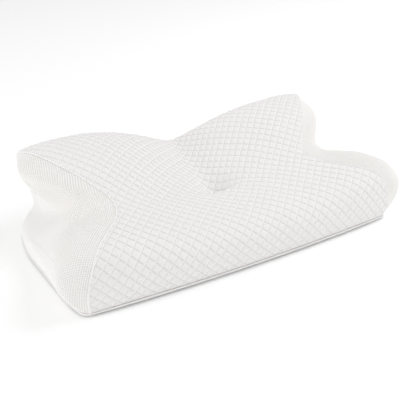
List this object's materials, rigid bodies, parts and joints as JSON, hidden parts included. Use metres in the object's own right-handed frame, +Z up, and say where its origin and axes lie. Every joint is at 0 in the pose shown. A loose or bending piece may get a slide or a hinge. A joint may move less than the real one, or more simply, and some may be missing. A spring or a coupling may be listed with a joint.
{
  "type": "cervical pillow",
  "caption": "Contoured neck pillow with a neck roll, raised wings, a head hollow and scooped ends, in a diamond-knit cover with open-hole knit end panels.",
  "frame": {"origin": "middle of the underside, on the surface that the pillow lies on", "axes": "+X along the length, +Y from the neck roll towards the wings, +Z up"},
  "size_m": [0.6066, 0.3244, 0.1483],
  "materials": {
    "cover_knit": "white knitted cover with a raised diamond pattern",
    "base_knit": "white knitted cover, the same cloth as the top",
    "end_knit": "off-white knit with rows of small holes",
    "welt_knit": "white knitted welt"
  },
  "bodies": {
    "root": {"pillow_body": "cover_knit", "base_panel": "base_knit", "end_panel_right": "end_knit", "end_panel_left": "end_knit", "end_welt_right": "welt_knit", "end_welt_left": "welt_knit"}
  },
  "joints": []
}
